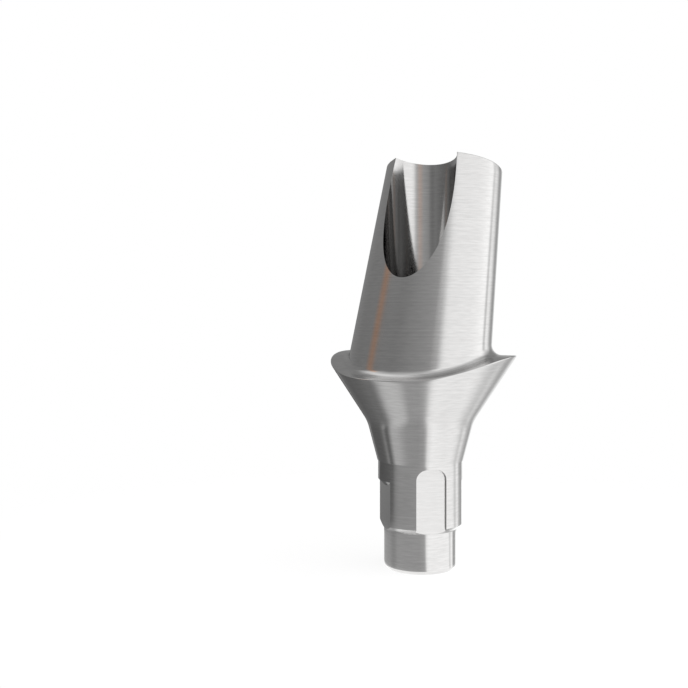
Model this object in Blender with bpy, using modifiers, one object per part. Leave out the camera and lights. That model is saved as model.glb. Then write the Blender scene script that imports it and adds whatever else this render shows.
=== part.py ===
"""Angled dental implant abutment, turned and milled from one bar of titanium.

The implant axis is Z. The end that enters the implant stands on Z = 0, and the
post leans towards +Y, so that the screw channel breaks out of its -Y side.
Angles round the axis start at -Y and run towards +X.
"""

from math import cos, pi, radians, sin, tan

import bmesh
import bpy
import numpy as np
from mathutils import Matrix, Vector

MM = 0.001
SIDES = 120
CHANNEL_SIDES = 80

# Screw bore and channel, in mm
BORE_RADIUS = 0.79
BORE_MOUTH_WIDTH = 0.14
BORE_MOUTH_DEPTH = 0.14
SCREW_SEAT_WIDTH = 0.40
SCREW_SEAT_DEPTH = 0.40
SCREW_SEAT_HEIGHT = 0.55

# Indexed connection, which enters the implant
PILOT_WALL_WIDTH = 0.37
PILOT_LENGTH = 1.26
END_CHAMFER_WIDTH = 0.075
END_CHAMFER_HEIGHT = 0.105
COLLAR_STEP_WIDTH = 0.19
LEAD_IN_HEIGHT = 0.175
COLLAR_LENGTH = 2.0
SLOT_WIDTH = 0.97
SLOT_CORNER = 0.34
SLOT_END_GAP = 0.135
FLAT_END_GAP = 0.60
INDEX_FLOOR_CLEARANCE = 0.008
INDEX_ANGLE = 44.0
MILL_OVERRUN = 0.16

# Flare from the implant's platform up to the margin
PLATFORM_STEP = 0.025
SEAT_CONE_ANGLE = 14.8
SEAT_CONE_HEIGHT = 1.25
FLARE_ANGLE = 33.0
FLARE_BLEND_HEIGHT = 0.12

# Margin, with its heights over the platform from the facial to the palatal side
MARGIN_FACIAL_HEIGHT = 2.70
MARGIN_FACIAL_CORNER_HEIGHT = 2.87
MARGIN_SIDE_HEIGHT = 3.385
MARGIN_PALATAL_CORNER_HEIGHT = 3.235
MARGIN_PALATAL_HEIGHT = 3.09
MARGIN_CANT_HEIGHT = 0.022
MARGIN_EDGE_RADIUS = 0.03
LEDGE_RISE_HEIGHT = 0.10
LEDGE_FILLET_RADIUS = 0.32

# Oval post, which the crown is cemented to
POST_LEAN = 15.7
POST_PIVOT_HEIGHT = 3.51
POST_HALF_WIDTH = 2.35
POST_HALF_DEPTH = 1.854
POST_TAPER = 3.03
POST_LENGTH = 6.24
POST_EDGE_RADIUS = 0.02

# Heights and radii that follow from the sizes above
PILOT_RADIUS = BORE_RADIUS + PILOT_WALL_WIDTH
COLLAR_RADIUS = PILOT_RADIUS + COLLAR_STEP_WIDTH
FLARE_FOOT_RADIUS = COLLAR_RADIUS + PLATFORM_STEP
CHANNEL_RADIUS = BORE_RADIUS + SCREW_SEAT_WIDTH
INDEX_FLOOR = PILOT_RADIUS + INDEX_FLOOR_CLEARANCE
COLLAR_FOOT = PILOT_LENGTH + LEAD_IN_HEIGHT
PLATFORM = COLLAR_FOOT + COLLAR_LENGTH
SLOT_ANGLES = (INDEX_ANGLE, INDEX_ANGLE + 180)
FLAT_ANGLES = (INDEX_ANGLE + 90, INDEX_ANGLE + 270)
MARGIN_HEIGHTS = (
    MARGIN_FACIAL_HEIGHT,
    MARGIN_FACIAL_CORNER_HEIGHT,
    MARGIN_SIDE_HEIGHT,
    MARGIN_PALATAL_CORNER_HEIGHT,
    MARGIN_PALATAL_HEIGHT,
)

FLARE_RING_SHARES = (0.4, 0.75)
BLEND_STEPS = 4
ROUNDING_STEPS = 3
FILLET_STEPS = 6
POST_RINGS = 7
OVERLAP = 0.2
OVERCUT = 1.0

SHARP_ANGLE = 25.0

TITANIUM_COLOUR = (0.60, 0.59, 0.58, 1.0)
TITANIUM_ROUGHNESS = 0.28


def clear_scene():
    for old in list(bpy.data.objects):
        bpy.data.objects.remove(old, do_unlink=True)


def new_collection(name):
    collection = bpy.data.collections.new(name)
    bpy.context.scene.collection.children.link(collection)
    return collection


def titanium():
    material = bpy.data.materials.new("turned_titanium")
    material.use_nodes = True
    shader = material.node_tree.nodes["Principled BSDF"]
    shader.inputs["Base Color"].default_value = TITANIUM_COLOUR
    shader.inputs["Metallic"].default_value = 1.0
    shader.inputs["Roughness"].default_value = TITANIUM_ROUGHNESS
    return material


def add_mesh_object(name, mesh, collection):
    obj = bpy.data.objects.new(name, mesh)
    collection.objects.link(obj)
    return obj


def cutter_from_bmesh(name, bm, collection):
    bmesh.ops.recalc_face_normals(bm, faces=bm.faces)
    mesh = bpy.data.meshes.new(name)
    bm.to_mesh(mesh)
    bm.free()
    obj = add_mesh_object(name, mesh, collection)
    obj.hide_render = True
    obj.display_type = "WIRE"
    return obj


def turned(name, profile, sides, collection):
    """Turns a profile of (radius, height) in mm, listed from its top to its foot, round Z."""
    mesh = bpy.data.meshes.new(name)
    points = [(radius * MM, 0.0, height * MM) for radius, height in profile]
    mesh.from_pydata(points, [(i, i + 1) for i in range(len(points) - 1)], [])
    obj = add_mesh_object(name, mesh, collection)
    obj.hide_render = True
    obj.display_type = "WIRE"
    screw = obj.modifiers.new("turn", "SCREW")
    screw.steps = screw.render_steps = sides
    screw.use_merge_vertices = True
    screw.merge_threshold = 1e-7
    return obj


def combine(obj, other, operation):
    boolean = obj.modifiers.new(other.name, "BOOLEAN")
    boolean.operation = operation
    boolean.object = other


# Shapes of the flare, the margin and the post


def margin_height(angle):
    """Cosine series through the five heights, half way round, plus the cant to one side."""
    last = len(MARGIN_HEIGHTS) - 1
    height = MARGIN_CANT_HEIGHT * -np.sin(angle)
    for wave in range(last + 1):
        total = sum(
            MARGIN_HEIGHTS[k] * cos(pi * wave * k / last) * (0.5 if k in (0, last) else 1.0)
            for k in range(last + 1)
        )
        share = (1.0 if wave in (0, last) else 2.0) / last
        height = height + share * total * np.cos(wave * angle)
    return PLATFORM + height


def flare_radius(height):
    """Two cones of unlike slope, with an arc-like blend between them."""
    above = height - PLATFORM - SEAT_CONE_HEIGHT
    low, high = tan(radians(SEAT_CONE_ANGLE)), tan(radians(FLARE_ANGLE))
    into = np.clip(above / FLARE_BLEND_HEIGHT + 0.5, 0.0, 1.0)
    bend = (high - low) * FLARE_BLEND_HEIGHT * 0.5 * into**2
    past = (high - low) * np.maximum(above - FLARE_BLEND_HEIGHT / 2, 0.0)
    return FLARE_FOOT_RADIUS + low * (height - PLATFORM) + bend + past


def ring_round_axis(angle, radius, height):
    return np.stack([radius * np.sin(angle), -radius * np.cos(angle), height + 0.0 * angle], axis=1)


POST_AXIS = Vector((0.0, sin(radians(POST_LEAN)), cos(radians(POST_LEAN))))
POST_FRONT = Vector((0.0, -cos(radians(POST_LEAN)), sin(radians(POST_LEAN))))
POST_PIVOT = Vector((0.0, 0.0, PLATFORM + POST_PIVOT_HEIGHT))


def post_ring(angle, along, inset=0.0):
    """Oval section of the post, square to its own axis, at a length along it from the pivot."""
    shrink = along * tan(radians(POST_TAPER)) + inset
    width = POST_HALF_WIDTH - shrink
    depth = width * POST_HALF_DEPTH / POST_HALF_WIDTH
    side = (width * np.sin(angle))[:, None] * np.array([1.0, 0.0, 0.0])
    front = (depth * np.cos(angle))[:, None] * np.array(POST_FRONT)
    axis = np.broadcast_to(along, angle.shape)[:, None] * np.array(POST_AXIS)
    return np.array(POST_PIVOT) + axis + front + side


def post_point_at_height(angle, height):
    """Where each straight line up the post's side passes a height."""
    low, high = post_ring(angle, 0.0), post_ring(angle, 1.0)
    along = (height - low[:, 2]) / (high[:, 2] - low[:, 2])
    return low + along[:, None] * (high - low), along


def direction(start, end):
    step = end - start
    return step / np.linalg.norm(step, axis=1)[:, None]


def round_corner(corner, first, second, radius, steps):
    """Rings of the arc that joins the unit directions first and second, and its reach from the corner."""
    half_angle = np.arccos((first * second).sum(axis=1)) / 2
    reach = (radius / np.tan(half_angle))[:, None]
    weight = np.sin(half_angle)[:, None]
    rings = []
    for t in np.linspace(0.0, 1.0, steps + 1):
        a, b, c = (1 - t) ** 2, 2 * t * (1 - t) * weight, t**2
        arc = a * (corner + reach * first) + b * corner + c * (corner + reach * second)
        rings.append(arc / (a + b + c))
    return rings, reach[:, 0]


def ledge_rings(angle):
    """The margin's rounded edge, the ledge inside it and a round fillet up into the post."""
    edge_height = margin_height(angle)
    edge = ring_round_axis(angle, flare_radius(edge_height), edge_height)
    below = edge_height - MARGIN_EDGE_RADIUS
    down_flare = direction(edge, ring_round_axis(angle, flare_radius(below), below))
    corner_height = edge_height + LEDGE_RISE_HEIGHT * (0.5 + 0.5 * np.cos(angle)) ** 2
    corner, along = post_point_at_height(angle, corner_height)
    outward = direction(corner, edge)
    up_post = direction(corner, post_ring(angle, along + 1.0))
    rounding, _ = round_corner(edge, down_flare, -outward, MARGIN_EDGE_RADIUS, ROUNDING_STEPS)
    fillet, reach = round_corner(corner, outward, up_post, LEDGE_FILLET_RADIUS, FILLET_STEPS)
    return rounding + fillet, along + reach


def upper_rings():
    """All rings of the flare and the post, from the platform to the post's top."""
    angle = np.arange(SIDES) * 2 * pi / SIDES
    knee = PLATFORM + SEAT_CONE_HEIGHT
    heights = [PLATFORM, (PLATFORM + knee) / 2]
    half_blend = FLARE_BLEND_HEIGHT / 2
    heights += list(np.linspace(knee - half_blend, knee + half_blend, BLEND_STEPS + 1))
    rings = [ring_round_axis(angle, flare_radius(z), z) for z in heights]
    margin = margin_height(angle)
    for share in FLARE_RING_SHARES:
        height = heights[-1] + share * (margin - heights[-1])
        rings.append(ring_round_axis(angle, flare_radius(height), height))
    ledge, fillet_end = ledge_rings(angle)
    rings += ledge
    straight_end = POST_LENGTH - POST_EDGE_RADIUS
    for share in np.linspace(0.0, 1.0, POST_RINGS + 1)[1:]:
        rings.append(post_ring(angle, fillet_end + share * (straight_end - fillet_end)))
    for turn in (pi / 4, pi / 2):
        rise, inset = POST_EDGE_RADIUS * sin(turn), POST_EDGE_RADIUS * (1 - cos(turn))
        rings.append(post_ring(angle, straight_end + rise, inset))
    return rings


def lofted(name, rings, collection):
    """A closed skin over rings of equal count, with flat ends."""
    count = len(rings[0])
    points = np.concatenate(rings) * MM
    faces = [tuple(reversed(range(count)))]
    for level in range(len(rings) - 1):
        low, high = level * count, (level + 1) * count
        for i in range(count):
            j = (i + 1) % count
            faces.append((low + i, low + j, high + j, high + i))
    faces.append(tuple(range(len(points) - count, len(points))))
    mesh = bpy.data.meshes.new(name)
    mesh.from_pydata(points.tolist(), [], faces)
    return add_mesh_object(name, mesh, collection)


# The connection and what is milled into it


def connection_blank(collection):
    face_radius = PILOT_RADIUS - END_CHAMFER_WIDTH
    profile = [
        (0.0, PLATFORM + OVERLAP),
        (COLLAR_RADIUS, PLATFORM + OVERLAP),
        (COLLAR_RADIUS, COLLAR_FOOT),
        (PILOT_RADIUS, PILOT_LENGTH),
        (PILOT_RADIUS, END_CHAMFER_HEIGHT),
        (face_radius, 0.0),
        (0.0, 0.0),
    ]
    return turned("connection", profile, SIDES, collection)


def round_axis(angle):
    """Turns a cutter that was made on the -Y side to its angle round the axis."""
    return Matrix.Rotation(radians(angle), 4, "Z")


def index_box(width, foot, top):
    """A box on the -Y side, from the index floor out past the collar, in mm."""
    outside = COLLAR_RADIUS + OVERCUT
    bm = bmesh.new()
    bmesh.ops.create_cube(bm, size=1.0)
    bmesh.ops.scale(bm, verts=bm.verts, vec=(width * MM, (outside - INDEX_FLOOR) * MM, (top - foot) * MM))
    middle = (0.0, -(outside + INDEX_FLOOR) / 2 * MM, (top + foot) / 2 * MM)
    bmesh.ops.translate(bm, verts=bm.verts, vec=middle)
    return bm


def slot_cutter(angle, collection):
    """An end-milled slot, open at the foot, with round corners at its upper end."""
    top = PLATFORM - SLOT_END_GAP
    bm = index_box(SLOT_WIDTH, PILOT_LENGTH - MILL_OVERRUN, top)
    corners = [
        edge
        for edge in bm.edges
        if all(abs(v.co.z - top * MM) < 1e-7 for v in edge.verts)
        and abs(edge.verts[0].co.x - edge.verts[1].co.x) < 1e-7
    ]
    bmesh.ops.bevel(bm, geom=corners, offset=SLOT_CORNER * MM, segments=8, profile=0.5, affect="EDGES")
    bm.transform(round_axis(angle))
    return cutter_from_bmesh(f"slot_{angle:.0f}", bm, collection)


def flat_cutter(angle, run_out, collection):
    """A flat as deep as the slots, which runs out upwards on a 45 degree cone."""
    top = PLATFORM - FLAT_END_GAP
    bm = index_box(2 * COLLAR_RADIUS, PILOT_LENGTH - MILL_OVERRUN, top + COLLAR_STEP_WIDTH / 4)
    bm.transform(round_axis(angle))
    flat = cutter_from_bmesh(f"flat_{angle:.0f}", bm, collection)
    combine(flat, run_out, "DIFFERENCE")
    return flat


def run_out_cone(collection):
    """The 45 degree cone that limits both flats: it meets the collar where they end."""
    top = PLATFORM - FLAT_END_GAP
    low, high = 2 * COLLAR_STEP_WIDTH, COLLAR_STEP_WIDTH
    profile = [
        (0.0, top + high),
        (COLLAR_RADIUS + high, top + high),
        (COLLAR_RADIUS - low, top - low),
        (0.0, top - low),
    ]
    return turned("flat_run_out", profile, SIDES, collection)


def channel_cutter(collection):
    """The screw's way through: mouth, bore, conical seat for the screw's head, and channel."""
    seat_foot = PLATFORM + SCREW_SEAT_HEIGHT
    top = PLATFORM + POST_PIVOT_HEIGHT + POST_LENGTH + OVERCUT
    profile = [
        (0.0, top),
        (CHANNEL_RADIUS, top),
        (CHANNEL_RADIUS, seat_foot + SCREW_SEAT_DEPTH),
        (BORE_RADIUS, seat_foot),
        (BORE_RADIUS, BORE_MOUTH_DEPTH),
        (BORE_RADIUS + BORE_MOUTH_WIDTH, 0.0),
        (BORE_RADIUS + BORE_MOUTH_WIDTH, -OVERCUT),
        (0.0, -OVERCUT),
    ]
    return turned("screw_channel", profile, CHANNEL_SIDES, collection)


def bake(obj):
    """Keeps the shape that the modifiers make, with smooth faces between sharp edges."""
    graph = bpy.context.evaluated_depsgraph_get()
    mesh = bpy.data.meshes.new_from_object(obj.evaluated_get(graph))
    obj.modifiers.clear()
    obj.data = mesh
    mesh.shade_smooth()
    mesh.set_sharp_from_angle(angle=radians(SHARP_ANGLE))


def build_abutment():
    clear_scene()
    parts = new_collection("dental_abutment")
    cutters = new_collection("cutters")

    connection = connection_blank(cutters)
    run_out = run_out_cone(cutters)
    for angle in SLOT_ANGLES:
        combine(connection, slot_cutter(angle, cutters), "DIFFERENCE")
    for angle in FLAT_ANGLES:
        combine(connection, flat_cutter(angle, run_out, cutters), "DIFFERENCE")

    abutment = lofted("abutment", upper_rings(), parts)
    combine(abutment, connection, "UNION")
    combine(abutment, channel_cutter(cutters), "DIFFERENCE")
    bake(abutment)
    abutment.data.materials.clear()
    abutment.data.materials.append(titanium())


build_abutment()
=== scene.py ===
from math import acos, atan2, cos, pi, radians, sin, sqrt, tan

import bmesh
import bpy
import numpy as np
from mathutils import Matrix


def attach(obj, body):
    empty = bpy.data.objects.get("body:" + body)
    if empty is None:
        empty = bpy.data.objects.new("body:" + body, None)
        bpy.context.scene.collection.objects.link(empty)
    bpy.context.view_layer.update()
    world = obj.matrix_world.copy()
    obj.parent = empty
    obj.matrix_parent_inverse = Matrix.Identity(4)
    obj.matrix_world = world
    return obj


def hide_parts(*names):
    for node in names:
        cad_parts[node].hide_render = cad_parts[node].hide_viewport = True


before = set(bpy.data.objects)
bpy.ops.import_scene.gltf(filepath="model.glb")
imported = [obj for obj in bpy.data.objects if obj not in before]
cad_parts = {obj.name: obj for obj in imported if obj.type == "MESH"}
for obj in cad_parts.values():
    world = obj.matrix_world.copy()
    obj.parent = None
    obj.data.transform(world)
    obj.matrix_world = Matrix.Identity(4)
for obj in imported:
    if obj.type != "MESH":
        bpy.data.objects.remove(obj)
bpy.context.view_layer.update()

mm = 0.001
viewAngle = 32.4  # degrees, the camera's place round the axis, from -Y towards +X

# Shape of the abutment, in mm. The implant axis is Z, the post leans towards +Y,
# and angles round the axis start at -Y and run towards +X.
shape = {
    "boreRadius": 0.79,
    "boreMouth": 0.14,
    "seatWidth": 0.40,
    "seatDepth": 0.40,
    "seatFoot": 0.55,  # over the platform
    "pilotRadius": 1.16,
    "pilotLength": 1.26,
    "endChamfer": (0.075, 0.105),
    "collarRadius": 1.35,
    "leadIn": 0.175,
    "collarLength": 2.0,
    "platformStep": 0.025,
    "seatConeAngle": 14.8,
    "seatConeHeight": 1.25,
    "flareAngle": 33.0,
    "flareBlend": 0.36,
    "marginHeights": (2.70, 2.87, 3.385, 3.235, 3.09),  # facial to palatal, over the platform
    "marginCant": 0.022,
    "marginEdge": 0.03,
    "ledgeRise": 0.10,
    "ledgeFillet": 0.32,
    "lean": 15.7,
    "pivotHeight": 3.51,
    "halfWidth": 2.35,
    "halfDepth": 1.854,
    "taper": 3.03,
    "postLength": 6.24,
    "postEdge": 0.03,
    "postEdgeFade": 0.12,  # radians beside the channel's opening
    "turnedEdge": 0.012,
}
slots = {
    "width": 0.97,
    "corner": 0.34,
    "endGap": 0.135,
    "flatEndGap": 0.60,
    "floor": 1.168,
    "angles": (44.0, 224.0),
    "flatAngles": (134.0, 314.0),
    "overrun": 0.16,
    "outside": 1.0,  # past the collar
    "flatOverrun": 0.1,  # up into the run-out cone
    "coneReach": 0.4,  # above and below the flats' upper ends
    "cornerSteps": 12,
}
mesh = {
    "columns": 444,
    "frontShare": 3,  # one column in three runs up to the channel's opening
    "coneRows": 8,
    "kneeRows": 12,
    "flareRows": 16,
    "roundingRows": 6,
    "ledgeRows": 8,
    "filletRows": 14,
    "postRows": 24,
    "edgeRows": 4,
    "topRows": 12,
    "channelRows": 12,
    "boreRows": 28,
    "turnedEdgeRows": 4,
    "sharpAngle": 26.0,  # degrees
    "merged": 2e-8,  # m, within which points are one
    "shortest": 1e-9,  # m, under which an edge goes
}

platform = shape["pilotLength"] + shape["leadIn"] + shape["collarLength"]
channelRadius = shape["boreRadius"] + shape["seatWidth"]
lean = radians(shape["lean"])
postAxis = np.array([0.0, sin(lean), cos(lean)])
postFront = np.array([0.0, -cos(lean), sin(lean)])
postPivot = np.array([0.0, 0.0, platform + shape["pivotHeight"]])
slope = tan(radians(shape["taper"]))


def marginHeight(angle):
    # z = platform - cant * sin(angle) + a cosine series through the five heights, half way round
    heights = np.array(shape["marginHeights"])
    last = len(heights) - 1
    ends = np.array([0.5 if k in (0, last) else 1.0 for k in range(last + 1)])
    height = -shape["marginCant"] * np.sin(angle)
    for wave in range(last + 1):
        share = np.sum(ends * heights * np.cos(pi * wave * np.arange(last + 1) / last))
        height = height + share * ends[wave] * 2 / last * np.cos(wave * angle)
    return platform + height


def flareRadius(height):
    # r = foot + z tan(low) up to the knee, then z tan(high), with a parabola over the blend
    above = height - platform - shape["seatConeHeight"]
    low, high = tan(radians(shape["seatConeAngle"])), tan(radians(shape["flareAngle"]))
    blend = shape["flareBlend"]
    into = np.clip(above / blend + 0.5, 0.0, 1.0)
    past = np.maximum(above - blend / 2, 0.0)
    foot = shape["collarRadius"] + shape["platformStep"]
    return foot + low * (height - platform) + (high - low) * (blend * into**2 / 2 + past)


def ring(angle, radius, height):
    # (r sin a, -r cos a, z)
    places = np.broadcast_arrays(radius * np.sin(angle), -radius * np.cos(angle), height)
    return np.stack(places, axis=-1)


def postPoint(angle, along, inset=0.0):
    # pivot + s axis + (w D / W) cos a front + w sin a side, where w = W - s tan(taper) - inset
    width = shape["halfWidth"] - along * slope - inset
    depth = width * shape["halfDepth"] / shape["halfWidth"]
    side = (width * np.sin(angle))[..., None] * np.array([1.0, 0.0, 0.0])
    front = (depth * np.cos(angle))[..., None] * postFront
    return postPivot + np.broadcast_to(along, np.shape(width))[..., None] * postAxis + front + side


def unit(vector):
    return vector / np.linalg.norm(vector, axis=-1, keepdims=True)


def between(start, end, count):
    # start + t (end - start) for t = 1/count, ..., 1
    t = np.arange(1, count + 1)[:, None, None] / count
    return start + t * (end - start)


def roundCorner(corner, first, second, radius, steps):
    # circular arc as a rational quadratic: tangent points at radius / tan(half angle),
    # weight sin(half angle)
    half = np.arccos(np.clip(np.sum(first * second, axis=-1), -1.0, 1.0)) / 2
    reach = (radius / np.tan(half))[..., None]
    weight = np.sin(half)[..., None]
    t = np.linspace(0.0, 1.0, steps + 1)[:, None, None]
    a, b, c = (1 - t) ** 2, 2 * t * (1 - t) * weight, t**2
    arc = a * (corner + reach * first) + b * corner + c * (corner + reach * second)
    return arc / (a + b + c), reach[..., 0]


def channelCut(x, y):
    # s where the upright line through (x, y) meets the post's front:
    # x^2 + (s sin(lean) - y)^2 / k^2 = (W - s tan(taper))^2, with k = D cos(lean) / W
    k = shape["halfDepth"] * cos(lean) / shape["halfWidth"]
    a = (sin(lean) / k) ** 2 - slope**2
    b = 2 * shape["halfWidth"] * slope - 2 * y * sin(lean) / k**2
    c = x * x + (y / k) ** 2 - shape["halfWidth"] ** 2
    along = (-b + np.sqrt(b * b - 4 * a * c)) / (2 * a)
    return along, np.arctan2(x, (along * sin(lean) - y) / k)


def openingAngles():
    # where the top's oval meets the channel, as an angle of the channel and one of the oval:
    # (q^2 - w^2) c^2 - 2 p q c + w^2 + p^2 - R^2 = 0, with c the oval angle's cosine
    width = shape["halfWidth"] - shape["postLength"] * slope
    p = shape["postLength"] * sin(lean)
    q = width * shape["halfDepth"] / shape["halfWidth"] * cos(lean)
    a, b, c = q * q - width * width, -2 * p * q, width * width + p * p - channelRadius**2
    roots = [(-b + sign * sqrt(b * b - 4 * a * c)) / (2 * a) for sign in (-1, 1)]
    cosine = next(root for root in roots if 0 < root < 1)
    return atan2(width * sqrt(1 - cosine**2), q * cosine - p), acos(cosine)


def turnedRows(angle, corners, edge, steps):
    # a profile of (r, z) carried round the axis, with each inner corner rounded by a small arc
    points = np.array([(r, 0.0, z) for r, z in corners])[:, None, :]
    rows = [points[0]]
    for k in range(1, len(corners) - 1):
        before, after = unit(points[k - 1] - points[k]), unit(points[k + 1] - points[k])
        arc, _ = roundCorner(points[k], before, after, edge, steps)
        rows += list(arc)
    rows.append(points[-1])
    profile = np.concatenate(rows)
    return ring(angle[None, :], profile[:, 0:1], profile[:, 2:3])


def abutmentRows():
    # the whole skin as rows of equal count: up the flare, over the post, down the channel and
    # back up outside; the front columns run up to the channel's opening, and the others to the top
    columns = mesh["columns"]
    frontColumns = columns // mesh["frontShare"]
    frontAngle = pi / mesh["frontShare"]
    angle = np.linspace(-frontAngle, 2 * pi - frontAngle, columns + 1)[:-1]
    isFront = np.arange(columns) <= frontColumns
    channelOpening, ovalOpening = openingAngles()

    def spread(opening):
        # the same columns with the front ones spread over another angle
        back = np.linspace(opening, 2 * pi - opening, columns - frontColumns + 1)[1:-1]
        return np.concatenate([np.linspace(-opening, opening, frontColumns + 1), back])

    inner = spread(channelOpening)

    # Flare
    knee = platform + shape["seatConeHeight"]
    blend = shape["flareBlend"] / 2
    heights = np.concatenate([
        np.linspace(platform, knee - blend, mesh["coneRows"] + 1),
        np.linspace(knee - blend, knee + blend, mesh["kneeRows"] + 1)[1:],
    ])
    flare = ring(angle[None, :], flareRadius(heights)[:, None], heights[:, None])

    # Margin, ledge and fillet
    edgeHeight = marginHeight(angle)
    edge = ring(angle, flareRadius(edgeHeight), edgeHeight)
    below = edgeHeight - shape["marginEdge"]
    downFlare = unit(ring(angle, flareRadius(below), below) - edge)
    cornerHeight = edgeHeight + shape["ledgeRise"] * (0.5 + 0.5 * np.cos(angle)) ** 2
    low, high = postPoint(angle, np.zeros_like(angle)), postPoint(angle, np.ones_like(angle))
    along = (cornerHeight - low[:, 2]) / (high[:, 2] - low[:, 2])
    corner = postPoint(angle, along)
    outward, upPost = unit(edge - corner), unit(high - low)
    rounding, _ = roundCorner(edge, downFlare, -outward, shape["marginEdge"], mesh["roundingRows"])
    fillet, reach = roundCorner(corner, outward, upPost, shape["ledgeFillet"], mesh["filletRows"])
    share = np.linspace(0.0, 1.0, mesh["flareRows"] + 1)[1:-1, None]
    rise = heights[-1] + share * (rounding[0, :, 2] - heights[-1])
    upperFlare = ring(angle[None, :], flareRadius(rise), rise)
    ledge = between(rounding[-1], fillet[0], mesh["ledgeRows"])[:-1]

    # Post, up to the channel in front and to the edge break behind
    cutAlong, cutAngle = channelCut(channelRadius * np.sin(inner), -channelRadius * np.cos(inner))
    oval = np.where(isFront, cutAngle, spread(ovalOpening))
    beside = np.where(isFront, 0.0, np.minimum(oval, 2 * pi - oval) - ovalOpening)
    edgeBreak = shape["postEdge"] * np.clip(beside / shape["postEdgeFade"], 0.0, 1.0)
    top = shape["postLength"]
    sideEnd = np.where(isFront, np.minimum(cutAlong, top), top) - edgeBreak
    t = np.linspace(0.0, 1.0, mesh["postRows"] + 1)[1:, None]
    start = along + reach
    post = postPoint(angle + t * (oval - angle), start + t * (sideEnd - start))
    bend = np.linspace(0.0, pi / 2, mesh["edgeRows"] + 1)[1:, None]
    inset = edgeBreak * (1 - np.cos(bend))
    topEdge = postPoint(oval + 0 * bend, sideEnd + edgeBreak * np.sin(bend), inset)

    # Top face and channel
    rim = ring(inner, channelRadius, 0.0)
    topCentre = postPivot + top * postAxis
    rim[:, 2] = topCentre[2] - (rim[:, 1] - topCentre[1]) * postAxis[1] / postAxis[2]
    rim[isFront] = topEdge[-1][isFront]
    topFace = between(topEdge[-1], rim, mesh["topRows"])
    seatTop = platform + shape["seatFoot"] + shape["seatDepth"]
    wall = between(rim, ring(inner, channelRadius, seatTop), mesh["channelRows"])

    # Seat and bore, where the columns turn back to the outer ones
    seatFoot = seatTop - shape["seatDepth"]
    boreEnd = shape["boreMouth"]
    t = np.linspace(0.0, 1.0, mesh["boreRows"] + 1)[:, None]
    ease = t * t * (3 - 2 * t)
    boreHeight = seatFoot + t * (boreEnd - seatFoot)
    bore = ring(inner + ease * (angle - inner), shape["boreRadius"], boreHeight)

    # End face, pilot and collar
    chamferWidth, chamferHeight = shape["endChamfer"]
    pilot, collar = shape["pilotRadius"], shape["collarRadius"]
    collarFoot = shape["pilotLength"] + shape["leadIn"]
    outside = turnedRows(
        angle,
        [
            (shape["boreRadius"], boreEnd),
            (shape["boreRadius"] + shape["boreMouth"], 0.0),
            (pilot - chamferWidth, 0.0),
            (pilot, chamferHeight),
            (pilot, shape["pilotLength"]),
            (collar, collarFoot),
            (collar, platform),
            (collar + shape["platformStep"], platform),
        ],
        shape["turnedEdge"],
        mesh["turnedEdgeRows"],
    )
    return np.concatenate(
        [flare, upperFlare, rounding, ledge, fillet, post, topEdge, topFace, wall, bore, outside[1:-1]]
    )


def closedGrid(name, rows):
    # rows and columns both wrap round, and points that fall together are merged
    count, width = rows.shape[:2]
    index = np.arange(count * width).reshape(count, width)
    right, up = np.roll(index, -1, axis=1), np.roll(index, -1, axis=0)
    quads = np.stack([index, right, np.roll(right, -1, axis=0), up], axis=-1).reshape(-1, 4)
    data = bpy.data.meshes.new(name)
    data.from_pydata((rows.reshape(-1, 3) * mm).tolist(), [], quads.tolist())
    work = bmesh.new()
    work.from_mesh(data)
    bmesh.ops.remove_doubles(work, verts=work.verts, dist=mesh["merged"])
    bmesh.ops.dissolve_degenerate(work, edges=work.edges, dist=mesh["shortest"])
    work.to_mesh(data)
    work.free()
    return data


def addObject(name, data):
    made = bpy.data.objects.new(name, data)
    bpy.context.scene.collection.objects.link(made)
    return made


abutment = addObject("turned_abutment", closedGrid("turned_abutment", abutmentRows()))
for name in ("turned_titanium", "milled_titanium"):
    abutment.data.materials.append(bpy.data.materials.new(name))
print("abutment skin:", len(abutment.data.polygons), "faces")


def capped(name, low, high):
    # two loops of equal count, joined by their sides and closed at both ends
    count = len(low)
    step = np.arange(count)
    after = np.roll(step, -1)
    sides = np.stack([step, after, after + count, step + count], axis=1)
    faces = [step[::-1].tolist(), (step + count).tolist(), *sides.tolist()]
    data = bpy.data.meshes.new(name)
    data.from_pydata((np.concatenate([low, high]) * mm).tolist(), [], faces)
    return addObject(name, data)


def prism(name, outline, near, far, turn):
    # an outline of (x, z) carried from y = -near to y = -far, then turned round Z,
    # with the milled finish
    c, s = cos(radians(turn)), sin(radians(turn))
    turned = np.array([[c, s, 0.0], [-s, c, 0.0], [0.0, 0.0, 1.0]])
    x, z = outline.T
    low, high = (np.stack([x, np.full_like(x, -depth), z], axis=1) @ turned for depth in (near, far))
    made = capped(name, low, high)
    made.data.polygons.foreach_set("material_index", np.ones(len(made.data.polygons), dtype=int))
    return made


def slotOutline():
    # a slot open at the foot, with round corners of radius r at its top: centre + r (cos, sin)
    half, corner = slots["width"] / 2, slots["corner"]
    top, foot = platform - slots["endGap"], shape["pilotLength"] - slots["overrun"]
    bend = np.linspace(0.0, pi / 2, slots["cornerSteps"] + 1)
    x, z = half - corner + corner * np.cos(bend), top - corner + corner * np.sin(bend)
    right = np.stack([x, z], axis=1)
    left = right[::-1] * [-1, 1]
    return np.concatenate([[[-half, foot], [half, foot]], right, left])


def flatOutline():
    half = 2 * shape["collarRadius"]
    top = platform - slots["flatEndGap"] + slots["flatOverrun"]
    foot = shape["pilotLength"] - slots["overrun"]
    return np.array([[-half, foot], [half, foot], [half, top], [-half, top]])


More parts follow.
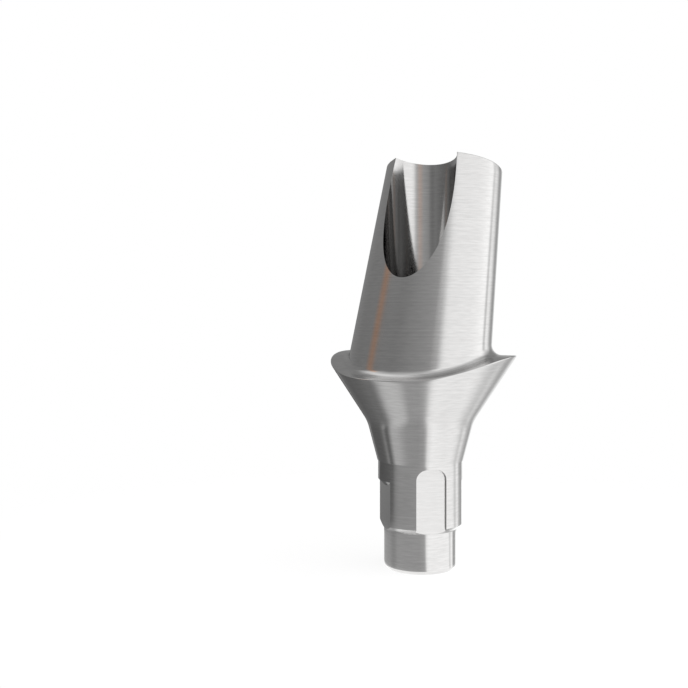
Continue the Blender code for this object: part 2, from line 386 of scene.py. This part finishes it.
def runOutCone():
    # the 45 degree cone on which both flats run out upwards
    angle = np.linspace(0.0, 2 * pi, mesh["columns"] + 1)[:-1]
    top, reach = platform - slots["flatEndGap"], slots["coneReach"]
    low, high = (ring(angle, shape["collarRadius"] + rise, top + rise) for rise in (-reach, reach))
    return capped("run_out", low, high)


def cut(piece, cutter):
    boolean = piece.modifiers.new(cutter.name, "BOOLEAN")
    boolean.operation = "DIFFERENCE"
    boolean.solver = "EXACT"
    boolean.material_mode = "INDEX"
    boolean.object = cutter
    return cutter


def millConnection(piece):
    outside = shape["collarRadius"] + slots["outside"]
    cone = runOutCone()
    helpers = [cone]
    for angle in slots["angles"]:
        slot = prism(f"slot_{angle:.0f}", slotOutline(), slots["floor"], outside, angle)
        helpers.append(cut(piece, slot))
    for angle in slots["flatAngles"]:
        flat = prism(f"flat_{angle:.0f}", flatOutline(), slots["floor"], outside, angle)
        cut(flat, cone)
        helpers.append(cut(piece, flat))
    graph = bpy.context.evaluated_depsgraph_get()
    milled = bpy.data.meshes.new_from_object(piece.evaluated_get(graph))
    piece.modifiers.clear()
    piece.data = milled
    for helper in helpers:
        bpy.data.objects.remove(helper)


millConnection(abutment)
abutment.data.name = "turned_abutment"
abutment.data.shade_smooth()
abutment.data.set_sharp_from_angle(angle=radians(mesh["sharpAngle"]))
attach(abutment, "root")
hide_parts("abutment")
print("slots and flats milled:", len(abutment.data.polygons), "faces")


class Signal:
    # wraps a socket, so that + - * and / on it add Math nodes
    def __init__(self, tree, socket=None):
        self.tree = tree
        self.socket = socket

    def node(self, kind, settings=None, inputs=None, output=0):
        # any node: its settings first, then the values or links of its sockets
        made = self.tree.nodes.new(kind)
        for name, value in (settings or {}).items():
            if name == "stops":
                self.setStops(made.color_ramp, value)
            else:
                setattr(made, name, value)
        for name, value in (inputs or {}).items():
            if isinstance(value, Signal):
                self.tree.links.new(value.socket, made.inputs[name])
            else:
                made.inputs[name].default_value = value
        return Signal(self.tree, made.outputs[output])

    def setStops(self, ramp, stops):
        # stops are (place, grey) pairs
        while len(ramp.elements) > 1:
            ramp.elements.remove(ramp.elements[-1])
        for k, (place, grey) in enumerate(stops):
            element = ramp.elements[0] if k == 0 else ramp.elements.new(place)
            element.position = place
            element.color = (grey, grey, grey, 1.0)

    def math(self, operation, *values):
        return self.node("ShaderNodeMath", {"operation": operation}, dict(enumerate(values)))

    def __add__(self, other):
        return self.math("ADD", self, other)

    def __radd__(self, other):
        return self.math("ADD", other, self)

    def __sub__(self, other):
        return self.math("SUBTRACT", self, other)

    def __rsub__(self, other):
        return self.math("SUBTRACT", other, self)

    def __mul__(self, other):
        return self.math("MULTIPLY", self, other)

    def __rmul__(self, other):
        return self.math("MULTIPLY", other, self)

    def __truediv__(self, other):
        return self.math("DIVIDE", self, other)

    def __rtruediv__(self, other):
        return self.math("DIVIDE", other, self)

    def step(self, low, high):
        # 0 below low, 1 above high, smooth between
        settings = {"interpolation_type": "SMOOTHSTEP"}
        inputs = {"Value": self, "From Min": low, "From Max": high}
        return self.node("ShaderNodeMapRange", settings, inputs)


titanium = {
    "colour": (0.63, 0.625, 0.62),
    "anisotropy": 1.0,
    "turn": 0.25,  # of a whole turn, so that the marks run round the part
    "lineSpacing": (0.045, 0.05, 0.30),  # mm between fine, middle and broad turning marks
    "lineLength": (0.3, 10.0, 8.0),  # mm along which a mark holds
    "colourSwing": (0.15, 0.12, 0.02),
    "roughnessSwing": 0.02,
    "markDepth": 0.0001,
}
finishes = {
    "turned_titanium": {"roughness": 0.12, "marks": 1.0},
    "milled_titanium": {"roughness": 0.2, "marks": 0.6},
}


def turningMarks(start, place, spacing, length):
    # noise pressed flat across the axis: marks a spacing apart in Z, and far longer round the part
    scale = (1 / (length * mm), 1 / (length * mm), 1 / (spacing * mm))
    pressed = start.node("ShaderNodeMapping", {}, {"Vector": place, "Scale": scale})
    return start.node("ShaderNodeTexNoise", {}, {"Vector": pressed, "Scale": 1.0, "Detail": 0.0})


def finishTitanium(material, finish):
    material.use_nodes = True
    tree = material.node_tree
    shader = tree.nodes["Principled BSDF"]
    shader.inputs["Metallic"].default_value = 1.0
    shader.inputs["Anisotropic"].default_value = titanium["anisotropy"]
    shader.inputs["Anisotropic Rotation"].default_value = titanium["turn"]
    start = Signal(tree)
    place = start.node("ShaderNodeTexCoord", output="Object")
    marks = [
        turningMarks(start, place, spacing, length) - 0.5
        for spacing, length in zip(titanium["lineSpacing"], titanium["lineLength"])
    ]
    swing = marks[0] * titanium["colourSwing"][0]
    for mark, share in zip(marks[1:], titanium["colourSwing"][1:]):
        swing = swing + mark * share
    toned = {0: titanium["colour"], "Scale": swing * finish["marks"] + 1.0}
    colour = start.node("ShaderNodeVectorMath", {"operation": "SCALE"}, toned)
    roughness = marks[1] * titanium["roughnessSwing"] + finish["roughness"]
    bump = start.node(
        "ShaderNodeBump",
        {},
        {"Strength": 1.0, "Distance": titanium["markDepth"] * mm, "Height": marks[0] + marks[1]},
    )
    tree.links.new(colour.socket, shader.inputs["Base Color"])
    tree.links.new(roughness.socket, shader.inputs["Roughness"])
    tree.links.new(bump.socket, shader.inputs["Normal"])


for name, finish in finishes.items():
    finishTitanium(bpy.data.materials[name], finish)
print("titanium finished")

# Light by direction: degrees from straight behind the camera, to the right, with the level there.
# Grey flags stand on the left, a white softbox on the right with a dark slot in it, and white hangs
# overhead. Two soft reddish bars stand on the left and behind the camera.
studio = {
    "bands": {  # by degrees over the horizon
        -68: [
            (-180, 0.7), (-140, 0.53), (-112, 0.5), (-100, 0.66), (-86, 0.72), (-64, 0.72),
            (-54, 0.55), (-44, 0.42), (-10, 0.39), (4, 0.46), (14, 0.6), (26, 1.05), (34, 1.22),
            (60, 1.24), (140, 1.06),
        ],
        -57: [
            (-180, 0.55), (-146, 0.34), (-116, 0.3), (-104, 0.46), (-96, 0.64), (-84, 0.72),
            (-68, 0.7), (-54, 0.52), (-40, 0.4), (-10, 0.38), (4, 0.46), (12, 0.65), (22, 1.15),
            (34, 1.3), (60, 1.22), (100, 1.2), (150, 1.0),
        ],
        -46: [
            (-180, 0.38), (-150, 0.2), (-124, 0.2), (-106, 0.22), (-98, 0.3), (-91, 0.48),
            (-84, 0.64), (-70, 0.66), (-54, 0.53), (-42, 0.42), (-12, 0.39), (4, 0.46), (10, 0.62),
            (17, 1.15), (30, 1.3), (50, 1.24), (60, 1.2), (72, 1.26), (102, 1.24), (112, 1.1),
            (122, 0.92), (132, 0.9), (156, 0.75),
        ],
        -33: [
            (-180, 0.14), (-158, 0.12), (-140, 0.16), (-118, 0.17), (-110, 0.24), (-105, 0.4),
            (-101, 0.36), (-96, 0.16), (-90, 0.17), (-85, 0.36), (-77, 0.6), (-62, 0.57),
            (-48, 0.46), (-36, 0.4), (-8, 0.4), (4, 0.45), (9, 0.6), (15, 1.05), (26, 1.3),
            (50, 1.28), (62, 1.24), (88, 1.24), (96, 1.14), (108, 0.96), (122, 0.8), (127, 0.8),
            (132, 0.98), (138, 0.85), (146, 0.5), (170, 0.2),
        ],
        -20: [
            (-180, 0.08), (-166, 0.15), (-154, 0.16), (-142, 0.13), (-118, 0.13), (-95, 0.16),
            (-86, 0.18), (-78, 0.33), (-64, 0.38), (-12, 0.4), (4, 0.46), (9, 0.58), (15, 1.12),
            (24, 1.32), (50, 1.31), (66, 1.28), (92, 1.26), (98, 1.15), (104, 0.86), (109, 0.88),
            (114, 1.1), (120, 1.05), (127, 0.75), (136, 0.6), (146, 0.5), (154, 0.8), (162, 0.9),
            (170, 0.3),
        ],
        -11: [
            (-180, 0.05), (-169, 0.1), (-165, 0.3), (-155, 0.3), (-151, 0.11), (-130, 0.11),
            (-92, 0.15), (-82, 0.18), (-76, 0.22), (-71, 0.31), (-62, 0.35), (-30, 0.38),
            (-8, 0.41), (6, 0.47), (10, 0.58), (15, 1.1), (21, 1.34), (66, 1.3), (98, 1.28),
            (103, 0.94), (107, 0.95), (112, 1.25), (119, 1.28), (124, 0.85), (130, 0.55),
            (140, 0.45), (146, 0.45), (152, 0.75), (160, 1.0), (170, 0.8),
        ],
        6: [
            (-180, 0.28), (-172, 0.2), (-163, 0.26), (-140, 0.25), (-100, 0.14), (-72, 0.17),
            (-55, 0.22), (-44, 0.18), (-38, 0.22), (-31, 0.34), (-18, 0.42), (-4, 0.5), (5, 0.58),
            (10, 0.76), (16, 1.08), (24, 1.22), (60, 1.24), (76, 1.32), (90, 1.42), (98, 1.42),
            (103, 0.84), (107, 0.84), (111, 1.24), (118, 1.2), (124, 0.95), (131, 0.6), (136, 0.46),
            (146, 0.42), (153, 0.7), (166, 0.6),
        ],
        22: [
            (-180, 0.28), (-110, 0.26), (-96, 0.25), (-62, 0.25), (-36, 0.29), (-22, 0.33),
            (-10, 0.36), (3, 0.42), (8, 0.5), (12, 0.85), (16, 1.15), (20, 1.22), (60, 1.25),
            (76, 1.31), (90, 1.42), (98, 1.42), (106, 1.05), (126, 0.65), (134, 0.35),
        ],
        31: [
            (-180, 0.27), (-120, 0.26), (-108, 0.24), (-60, 0.24), (-44, 0.28), (-22, 0.33),
            (-8, 0.36), (-1, 0.42), (4, 0.5), (8, 0.8), (12, 1.12), (17, 1.2), (60, 1.23),
            (76, 1.31), (98, 1.34), (110, 0.9), (126, 0.5), (136, 0.3),
        ],
        38: [
            (-180, 0.28), (-144, 0.28), (-132, 0.34), (-120, 0.6), (-108, 0.78), (-97, 0.66),
            (-82, 0.46), (-68, 0.3), (-58, 0.27), (-36, 0.32), (-18, 0.36), (-6, 0.42), (0, 0.85),
            (7, 1.2), (60, 1.23), (76, 1.34), (98, 1.34), (110, 0.95), (122, 0.64), (134, 0.33),
        ],
        46: [
            (-180, 0.32), (-150, 0.34), (-132, 0.62), (-119, 0.95), (-104, 0.85), (-88, 0.58),
            (-72, 0.46), (-24, 0.5), (-12, 0.62), (-4, 0.95), (4, 1.25), (60, 1.34), (96, 1.3),
            (108, 1.0), (124, 0.45), (136, 0.28),
        ],
        56: [
            (-180, 0.45), (-156, 0.74), (-132, 1.1), (-110, 0.95), (-92, 0.66), (-60, 0.54),
            (-30, 0.6), (0, 0.76), (24, 0.85), (40, 1.05), (76, 1.1), (96, 0.9), (120, 0.6),
            (134, 0.45), (146, 0.7),
        ],
        68: [
            (-180, 0.35), (-166, 0.38), (-150, 0.8), (-130, 1.05), (-104, 0.88), (-84, 0.7),
            (-60, 0.74), (0, 0.78), (60, 0.84), (96, 0.74), (120, 0.68), (156, 0.78),
        ],
    },
    "shade": 0.5,  # of the light round the horizon, once mirrored twice in the channel
    "shaded": 6,  # the band that the channel mirrors
    "shadeDepth": (2.0, 3.0),  # of a ray: one that looks for light counts a bounce more
    "warm": [  # reddish bars: centre, half width, lower and upper fade in degrees, and strength
        {"azimuth": -96, "width": 10, "low": (14, 20), "high": (38, 44), "share": 1.0},
        {"azimuth": -5, "width": 13, "low": (0, 4), "high": (10, 16), "share": 0.45},
    ],
    "warmTint": (1.5, 0.95, 0.68),
    "overhead": 0.5,
    "overheadRise": (0.95, 0.99),  # sine of the elevation
    "underfoot": 0.9,
    "underfootFall": (0.96, 0.995),
    "most": 1.5,
}
nearFloor = {
    # painted light and shade on the floor, by degrees round the axis, seen only by the metal as a
    # painted reflection of the studio
    "levels": [
        (-180, 0.8), (-168, 0.5), (-150, 0.45), (-120, 0.43), (-104, 0.36), (-96, 0.36),
        (-82, 0.44), (-8, 0.43), (6, 0.48), (10, 0.6), (15, 1.18), (22, 1.33), (98, 1.33),
        (103, 0.98), (107, 0.98), (112, 1.4), (116, 1.4), (122, 0.85), (127, 0.5), (138, 0.45),
        (144, 0.75), (152, 1.3), (170, 1.3),
    ],
    "reach": 24.0,  # mm
    "sides": 64,
    "foot": (1.25, 1.5),  # mm from the axis, inside which the painted reflection is a white glow
    "paintedFootGlow": 1.3,
    # mm of a mirrored ray, past which the metal stops seeing it: only the pilot is as near
    "mirrored": (4.9, 5.2),
    "faded": (6.0, 20.0),
    "albedo": 0.3,
    "glow": 0.83,
}


def azimuthOf(start, place):
    # radians round the axis from the camera's side, to the right
    turn = radians(-viewAngle)
    turned = start.node("ShaderNodeMapping", {}, {"Vector": place, "Rotation": (0.0, 0.0, turn)})
    split = turned.node("ShaderNodeSeparateXYZ", {}, {"Vector": turned})
    x, y = split, Signal(start.tree, split.socket.node.outputs["Y"])
    return x.math("ARCTAN2", x, 0 - y)


def levelByAzimuth(azimuth, levels):
    # one grey ramp round the axis, closed by its first level; its stops are shares of the most
    closed = [*levels, (180, levels[0][1])]
    stops = [(degrees / 360 + 0.5, level / studio["most"]) for degrees, level in closed]
    ramp = azimuth.node("ShaderNodeValToRGB", {"stops": stops}, {"Fac": azimuth / (2 * pi) + 0.5})
    return ramp * studio["most"]


def mirroredAzimuth(azimuth, away):
    # the way that a ray off the pilot's wall, of radius R, goes to reach a place at radius r:
    # azimuth + asin(R / r sin(azimuth / (2 - R / r)))
    share = shape["pilotRadius"] * mm / away
    return azimuth + azimuth.math("ARCSINE", share * azimuth.math("SINE", azimuth / (2 - share)))


def warmBar(azimuth, rise, bar):
    # one soft bar of tinted light, between two fades in height
    centre, width = radians(bar["azimuth"]), radians(bar["width"])
    across = azimuth.step(centre - width, centre) * (1 - azimuth.step(centre, centre + width))
    low, high = ([radians(degrees) for degrees in bar[edge]] for edge in ("low", "high"))
    return across * rise.step(*low) * (1 - rise.step(*high)) * bar["share"]


def studioWorld():
    world = bpy.data.worlds.new("studio")
    bpy.context.scene.world = world
    world.use_nodes = True
    tree = world.node_tree
    start = Signal(tree)
    ray = start.node("ShaderNodeTexCoord", output="Generated")
    height = start.node("ShaderNodeSeparateXYZ", {}, {"Vector": ray}, output="Z")
    rise = height.math("ARCSINE", height)
    lit, below = None, None
    azimuth = azimuthOf(start, ray)
    bounces = start.node("ShaderNodeLightPath", output="Ray Depth")
    for elevation, levels in studio["bands"].items():
        band = levelByAzimuth(azimuth, levels)
        if elevation == studio["shaded"]:
            band = band * (1.0 - (1.0 - studio["shade"]) * bounces.step(*studio["shadeDepth"]))
        if lit is None:
            lit = band
        else:
            lit = lit + (band - lit) * rise.step(radians(below), radians(elevation))
        below = elevation
    lit = lit + (studio["overhead"] - lit) * height.step(*studio["overheadRise"])
    lit = lit + (studio["underfoot"] - lit) * (0 - height).step(*studio["underfootFall"])
    warm = warmBar(azimuth, rise, studio["warm"][0])
    for bar in studio["warm"][1:]:
        warm = warm + warmBar(azimuth, rise, bar)
    white, reddish = (1.0, 1.0, 1.0, 1.0), (*studio["warmTint"], 1.0)
    tint = start.node("ShaderNodeMix", {"data_type": "RGBA"}, {0: warm, 6: white, 7: reddish}, 2)
    tinted = start.node("ShaderNodeVectorMath", {"operation": "SCALE"}, {0: tint, "Scale": lit})
    seen = start.node("ShaderNodeLightPath", output="Is Camera Ray")
    shown = start.node("ShaderNodeMix", {"data_type": "RGBA"}, {0: seen, 6: tinted, 7: white}, 2)
    tree.links.new(shown.socket, tree.nodes["Background"].inputs["Color"])


def paleFloor():
    # a disc that fades into the white surroundings: r (sin a, -cos a) at z = 0.
    # The metal sees only the part close by, which glows with a painted reflection of the studio round
    # it: painted light and shade by direction, brighter on the right.
    count = nearFloor["sides"]
    angle = np.linspace(0.0, 2 * pi, count + 1)[:-1]
    points = ring(angle, nearFloor["reach"], np.zeros(count)) * mm
    data = bpy.data.meshes.new("floor")
    data.from_pydata(points.tolist(), [], [list(range(count))])
    floor = addObject("floor", data)
    material = bpy.data.materials.new("pale_floor")
    material.use_nodes = True
    tree = material.node_tree
    tree.nodes.remove(tree.nodes["Principled BSDF"])
    start = Signal(tree)
    place = start.node("ShaderNodeTexCoord", output="Object")
    away = start.node("ShaderNodeVectorMath", {"operation": "LENGTH"}, {0: place}, output="Value")
    pale = start.node("ShaderNodeBsdfDiffuse", {}, {"Color": (*[nearFloor["albedo"]] * 3, 1.0)})
    glow = start.node("ShaderNodeEmission", {}, {"Strength": nearFloor["glow"]})
    lit = start.node("ShaderNodeAddShader", {}, {0: pale, 1: glow})
    clear = start.node("ShaderNodeBsdfTransparent")
    near, far = nearFloor["faded"]
    faded = start.node("ShaderNodeMixShader", {}, {0: away.step(near * mm, far * mm), 1: lit, 2: clear})
    level = levelByAzimuth(mirroredAzimuth(azimuthOf(start, place), away), nearFloor["levels"])
    inner, outer = nearFloor["foot"]
    foot = nearFloor["paintedFootGlow"]
    level = foot + (level - foot) * away.step(inner * mm, outer * mm)
    # the floor glows with the painted reflection, for the metal alone
    paintedReflection = start.node("ShaderNodeEmission", {}, {"Strength": level})
    near, far = nearFloor["mirrored"]
    length = start.node("ShaderNodeLightPath", output="Ray Length")
    past = length.step(near * mm, far * mm)
    mirrored = start.node("ShaderNodeMixShader", {}, {0: past, 1: paintedReflection, 2: clear})
    glossy = start.node("ShaderNodeLightPath", output="Is Glossy Ray")
    surface = start.node("ShaderNodeMixShader", {}, {0: glossy, 1: faded, 2: mirrored})
    tree.links.new(surface.socket, tree.nodes["Material Output"].inputs["Surface"])
    data.materials.append(material)


studioWorld()
paleFloor()
print("studio lit")

camera = {
    "lens": 50.0,
    "sensor": 36.0,
    "distance": 30.83,  # mm
    "aside": -2.455,
    "height": 8.2,
    "clip": 0.5,
    "picture": 688,
    "shiftPixels": -32.5,
}


def addCamera():
    # a level camera, moved down the picture by a small shift
    lens = bpy.data.cameras.new("camera")
    lens.lens = camera["lens"]
    lens.sensor_width = camera["sensor"]
    lens.shift_y = camera["shiftPixels"] / camera["picture"]
    lens.clip_start = camera["clip"] * mm
    made = addObject("camera", lens)
    turn = radians(viewAngle)
    aside, away = camera["aside"] * mm, -camera["distance"] * mm
    made.location = (
        aside * cos(turn) - away * sin(turn),
        aside * sin(turn) + away * cos(turn),
        camera["height"] * mm,
    )
    made.rotation_euler = (pi / 2, 0.0, turn)
    bpy.context.scene.camera = made


addCamera()
bpy.context.scene.view_settings.view_transform = "Standard"
